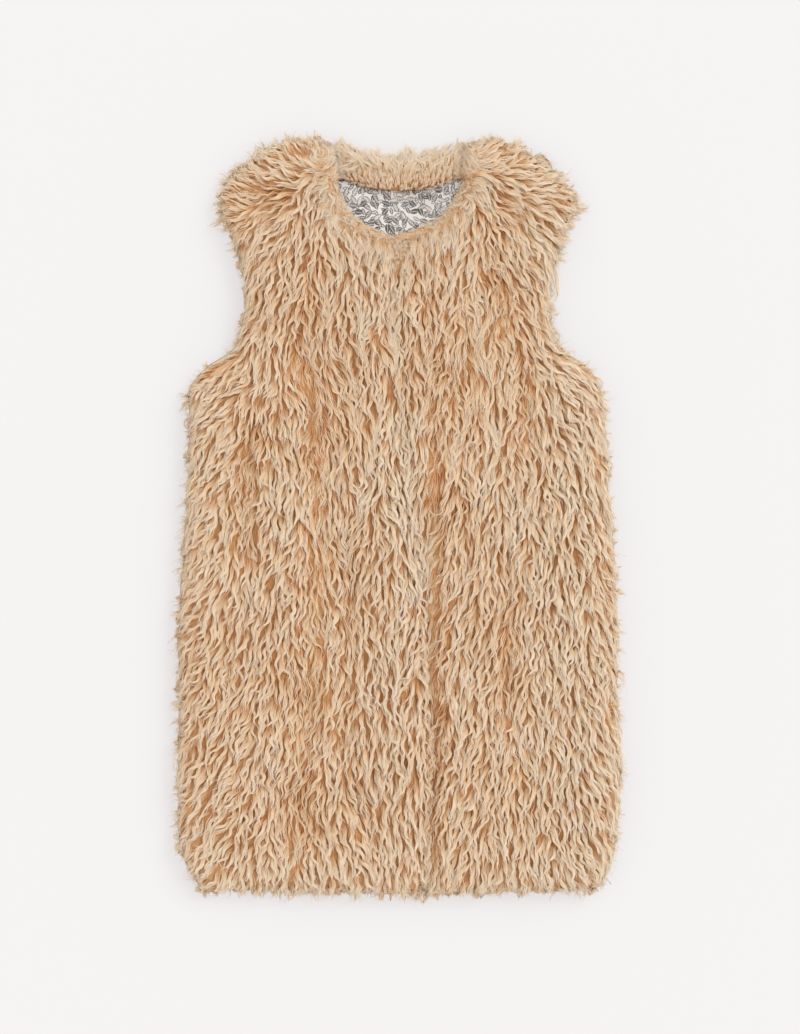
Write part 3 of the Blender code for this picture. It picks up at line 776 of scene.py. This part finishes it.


# matt polyester fibres, deep at their roots and pale at their tips, in three colour sets that the tone mixes:
# a painted shade for the folds' valleys, tan, and cream
TAN_TONE = 0.34  # below it the pile goes towards the painted shade, above it turns to cream
ROOT_END = 0.12  # shares of a strand's length
MIDDLE_AT = 0.44
STREAKS = (40.0, 2.5, 1.0)  # many across a lock and few along it
STREAK_TONE = 1.5
crimped_fibre, tree, output = new_material("crimped_polyester_fibre")
own_map = add(tree, "ShaderNodeUVMap", uv_map="OFBake")
parts = add(tree, "ShaderNodeSeparateXYZ", {0: own_map})
streaks = add(tree, "ShaderNodeMapping", {"Vector": own_map, "Scale": STREAKS})
streak = add(tree, NOISE, {"Vector": streaks, "Scale": 1.0, "Detail": 2.0})
streak = add(tree, MATHS, {0: streak, 1: 0.5}, operation="SUBTRACT")
tone = add(tree, MATHS, {0: streak, 1: STREAK_TONE, 2: parts.outputs["X"]}, operation="MULTIPLY_ADD")
tone = add(tree, "ShaderNodeClamp", {"Value": tone})
shade_tan_and_cream = []
for name, root, middle, tip in (
    # painted shade: the darkest set, taken by the pile in the folds' valleys
    ("painted_shade", "#8A4E26", "#C08C60", "#DAB694"),
    ("tan", "#BC7C48", "#E3C199", "#E8D6BE"),
    ("cream", "#DCB082", "#E8D9C0", "#EDE7DE"),
):
    ramp = add(tree, "ShaderNodeValToRGB", {"Fac": parts.outputs["Y"]}, name=name)
    ramp.color_ramp.elements[0].color = linear(root)
    ramp.color_ramp.elements[0].position = ROOT_END
    ramp.color_ramp.elements[1].color = linear(tip)
    ramp.color_ramp.elements.new(MIDDLE_AT).color = linear(middle)
    shade_tan_and_cream.append(ramp.outputs["Color"])
# below the tan tone the colour mixes from the painted shade to tan, above it from tan to cream
low_part = add(tree, MATHS, {0: tone, 1: TAN_TONE}, operation="DIVIDE", use_clamp=True)
high_part = add(tree, MATHS, {0: tone, 1: TAN_TONE}, operation="SUBTRACT")
high_part = add(tree, MATHS, {0: high_part, 1: 1 - TAN_TONE}, operation="DIVIDE", use_clamp=True)
colour = add(tree, MIX, {"Factor": low_part, 6: shade_tan_and_cream[0], 7: shade_tan_and_cream[1]}, data_type="RGBA").outputs[2]
colour = add(tree, MIX, {"Factor": high_part, 6: colour, 7: shade_tan_and_cream[2]}, data_type="RGBA").outputs[2]
looks = {"Base Color": colour, "Roughness": 0.6, "Specular IOR Level": 0.2, "Sheen Weight": 0.1}
finish = add(tree, "ShaderNodeBsdfPrincipled", looks)
tree.links.new(finish.outputs["BSDF"], output.inputs["Surface"])

whole = surface_of(*bases.values())
rng = np.random.default_rng(7)
CELL = 4 * MM
CELLS = (160, 250)
cover = np.zeros(CELLS)


def cells(centre):
    """The cells of the plan that the locks' centre lines run over."""
    fine = np.concatenate([centre[:, 1:], 0.5 * (centre[:, 1:] + centre[:, :-1])], axis=1)
    return tuple(
        (fine[..., k] / CELL + CELLS[k] // 2).astype(int).clip(1, CELLS[k] - 2) for k in (0, 1)
    )


def add_cover(centre):
    """Counts the locks over each cell and the cells beside it."""
    x, y = cells(centre)
    for dx in (-1, 0, 1):
        for dy in (-1, 0, 1):
            np.add.at(cover, (x + dx, y + dy), 1)


def front_roots(node, count, keep):
    """Roots on a front, from its top down to the lining's level, where keep(centre, normal) is true."""
    return roots_on(bases[node], count, rng, lambda c, n: (c[:, 2] > LINING_LEVEL) & keep(c, n))


LOCKS_A_QUARTER = 1350
quarters = []
for node, neck in zip(("front_right", "front_left"), NECK_EDGES):
    for part, above in (("chest", True), ("skirt", False)):
        roots = front_roots(
            node, LOCKS_A_QUARTER, lambda c, n: (n[:, 2] > -0.2) & ((c[:, 1] > 0.0) == above)
        )
        lines = lock_lines(whole, roots, rng, LOCK_LONG, PILE_DEPTH, neck=neck)
        add_cover(lines[0])
        quarters.append((node, part, lines))

# The locks that fill the bare places.
# Where nothing hangs from above, at the armholes, the shoulders and the front's neck, the maker's pile is as
# dense but shorter. Short locks go where the long ones cover the least.
FILL_LONG = (26 * MM, 42 * MM)
FILL_ROUNDS = 6
FILL_TRIES = 2400
FILL_LOCKS = 600
for node, neck in zip(("front_right", "front_left"), NECK_EDGES):
    picked = []
    for _ in range(FILL_ROUNDS):
        roots = front_roots(node, FILL_TRIES, lambda c, n: n[:, 2] > -0.3)
        centre, normal = lock_lines(
            whole, roots, rng, FILL_LONG, 0.75 * PILE_DEPTH, swerve=2 * LOCK_SWERVE, neck=neck
        )
        x, y = cells(centre)
        least = np.argsort(cover[x, y].mean(axis=1))[: FILL_LOCKS // FILL_ROUNDS]
        picked.append((centre[least], normal[least]))
        add_cover(centre[least])
    quarters.append((node, "fill", tuple(np.concatenate(part) for part in zip(*picked))))

piles = {"front_right": [], "front_left": [], "back": []}
for node, part, lines in quarters:
    steps = 8 if part == "fill" else 10
    piles[node].append(pile(f"pile_{node}_{part}", lines, rng, steps=steps))

# The front's neck edge.
# The front's neckline is turned in and sewn to its facing. Its pile is a short pale fluffy band there, which
# lies away from the fold, with a still shorter fringe over it that leans into the neck.
def from_neck(points):
    """Flat unit vectors that point away from the neck opening."""
    flow = points - np.array([*NECK_CENTRE, 0])
    flow[:, 2] = 0
    return unit(flow)


for node, edge in zip(("front_right", "front_left"), NECK_EDGES):
    roots = front_roots(
        node, 400, lambda c, n: (np.abs(beyond(edge, c)) < 9 * MM) & (n[:, 2] > -0.5)
    )
    band = lock_lines(
        whole, roots, rng, long=(14 * MM, 25 * MM), depth=5 * MM,
        lie=lambda p: unit(from_neck(p) + 0.5 * comb(p)), neck=edge, calm=0.8,
    )
    roots = front_roots(
        node, 130,
        lambda c, n: (np.abs(beyond(edge, c)) < 2 * MM) & (n[:, 2] > -0.5) & (np.abs(c[:, 0]) > 24 * MM),
    )
    fringe = lock_lines(
        whole, roots, rng, long=(2 * MM, 5 * MM), depth=2 * MM, lie=lambda p: -from_neck(p), swerve=0.7
    )
    both = tuple(np.concatenate(pair) for pair in zip(band, fringe))
    piles[node].append(pile(
        f"pile_{node}_neck", both, rng,
        fine=5, wave=(0.1 * MM, 0.6 * MM), size=0.9, tone=0.02, loose=1.0, calm=0.8, steps=7,
    ))

# The pile over the shoulder seams.
# Each front is sewn to the back along the shoulder. Beside the neck its pile leans up and inwards over that
# seam and hides it.
for node, edge in zip(("front_right", "front_left"), NECK_EDGES):
    roots = front_roots(
        node, 110, lambda c, n: (np.abs(beyond(edge, c)) < 14 * MM) & (c[:, 1] > NECK_CENTRE[1])
    )
    inwards = -0.8 if node == "front_left" else 0.8
    lines = lock_lines(
        whole, roots, rng, long=(18 * MM, 32 * MM), depth=5 * MM,
        lie=lambda p: unit(np.tile((inwards, 0.75, 0.0), (len(p), 1))), calm=0.7,
    )
    piles[node].append(pile(
        f"pile_{node}_shoulder_seam", lines, rng,
        fine=5, wave=(0.2 * MM, 1.4 * MM), loose=0.9, tone=-0.12, steps=7,
    ))

# The front's opening.
# The fronts meet edge to edge, and nothing that closes them shows. Their pile leans over the slit from both
# sides, so it shows only as a shallow parting.
OPENING_TOP = 0.29
right_front = np.array([v.co for v in bases["front_right"].data.vertices])
levels = np.arange(-0.44, OPENING_TOP, 0.02)
slit = [right_front[np.abs(right_front[:, 1] - y) < 0.03][:, 0].max() for y in levels]


def to_slit(points):
    """How far the slit lies to the right of each point."""
    return np.interp(points[:, 1], levels, slit) - points[:, 0]


def over_slit(points):
    """Flat unit vectors down the vest that lean over the slit."""
    flow = comb(points)
    flow[:, 0] += 0.7 * np.sign(to_slit(points))
    return unit(flow)


for node in ("front_right", "front_left"):
    roots = front_roots(
        node, 100, lambda c, n: (np.abs(to_slit(c)) < 12 * MM) & (c[:, 1] < OPENING_TOP) & (n[:, 2] > 0.1)
    )
    lines = lock_lines(whole, roots, rng, long=(22 * MM, 36 * MM), depth=7 * MM, lie=over_slit)
    # The locks over the slit take a slightly darker tone: painted shade in the parting.
    piles[node].append(pile(f"pile_{node}_opening", lines, rng, tone=-0.06, steps=8))

# The edges of the fronts and of the back, and the roll behind the neck.
# Round the fronts the pile ends in a soft fringe with single long wisps. The back's pile shows under it as a
# second fringe that droops to the table, and stands up from the seam behind the neck in a loose pale roll.
def upright(points):
    """Flat unit vectors that point up from the seam and spread to the sides."""
    return unit(fanned(points, 1.6, 0.35))


def outward(points):
    """Flat unit vectors between the way that the pile lies and straight out of the outline."""
    tree, _, normals = OUTLINE
    found = np.array([tree.find((p[0], p[1], 0))[1] for p in points])
    out = np.concatenate([normals[found], np.zeros((len(points), 1))], axis=1)
    return unit(out + 0.8 * comb(points))


def drooping(points):
    """The outward way, sloped down to the table."""
    return outward(points) - np.array([0, 0, 0.8])


for node in ("front_right", "front_left"):
    roots = front_roots(
        node, 520, lambda c, n: (np.abs(n[:, 2]) < 0.85) & (beyond(OUTLINE, c) > -24 * MM)
    )
    lines = lock_lines(
        whole, roots, rng, long=(20 * MM, 38 * MM), depth=7 * MM,
        lie=outward, swerve=2 * LOCK_SWERVE, past=(-6 * MM, 15 * MM),
    )
    piles[node].append(pile(f"pile_{node}_edge", lines, rng, body=1, fine=6, loose=0.9, tone=0.02, steps=7))

    roots = front_roots(node, 190, lambda c, n: (beyond(OUTLINE, c) > -20 * MM) & (n[:, 2] < 0.9))
    lines = lock_lines(
        whole, roots, rng, long=(30 * MM, 50 * MM), depth=9 * MM,
        lie=outward, swerve=3 * LOCK_SWERVE, past=(8 * MM, 14 * MM),
    )
    piles[node].append(pile(f"pile_{node}_wisps", lines, rng, body=0, fine=2, loose=0.9, tone=0.06, steps=8))


def behind_neck(c, n):
    """Which of the back's faces are on its top, from shoulder to shoulder."""
    return (np.abs(c[:, 0]) < 84 * MM) & (n[:, 2] > -0.2)


roots = roots_on(
    bases["back"], 480, rng, lambda c, n: (c[:, 1] > neck_seam(c[:, 0]) + 9 * MM) & behind_neck(c, n)
)
lines = lock_lines(
    whole, roots, rng, long=(22 * MM, 60 * MM), depth=9 * MM,
    lie=upright, swerve=3 * LOCK_SWERVE, past=(-4 * MM, 15 * MM), calm=0.4,
)
piles["back"].append(pile(
    "pile_back_neck", lines, rng,
    fine=6, wave=(0.2 * MM, 2.0 * MM), loose=1.0, tone=0.06, calm=0.3, steps=8,
))
roots = roots_on(
    bases["back"], 300, rng,
    lambda c, n: (np.abs(c[:, 1] - neck_seam(c[:, 0]) - 4 * MM) < 10 * MM) & behind_neck(c, n),
)
lines = lock_lines(whole, roots, rng, long=(11 * MM, 19 * MM), depth=6 * MM, lie=upright, calm=1.0)
# The pile at the seam takes a darker tone: painted shade at the foot of the roll.
piles["back"].append(pile(
    "pile_back_seam", lines, rng, wave=(0.1 * MM, 0.4 * MM), size=0.8, tone=-0.12, calm=1.0, steps=6
))

roots = roots_on(bases["back"], 500, rng, lambda c, n: (np.abs(n[:, 2]) < 0.7) & (c[:, 2] < BACK_LEVEL))
lines = lock_lines(
    whole, roots, rng, long=(18 * MM, 38 * MM), depth=6 * MM, lie=drooping, past=(-8 * MM, 6 * MM)
)
piles["back"].append(pile("pile_back_edge", lines, rng, body=1, fine=5, loose=0.9, tone=0.08, steps=7))

# The back's underside.
# The back's pile is pressed flat between the back and the table. It lies down the vest in broad flat locks.
roots = roots_on(bases["back"], 620, rng, lambda c, n: (n[:, 2] < -0.8) & (c[:, 2] < 5 * MM))
lines = lock_lines(whole, roots, rng, long=(55 * MM, 85 * MM), depth=1.4 * MM)
piles["back"].append(pile("pile_back_underside", lines, rng, body=3, fine=2, size=1.6, thick=0.15, steps=7))

# The cloths' areas.
# Each panel is one piece of fur fabric, and the back's lining one piece of satin, cut to shape and laid flat.
# The area of each is worked out from its outline as it lies, and is not used further.
def laid(node):
    """Works out the area of the plan of a piece's solid, and does nothing more with it."""
    bm = merged_copy(node)
    area = sum(face.calc_area() * abs(face.normal.z) for face in bm.faces) / 2
    bm.free()


laid("back_lining")
laid("back")
for node in ("front_right", "front_left"):
    laid(node)
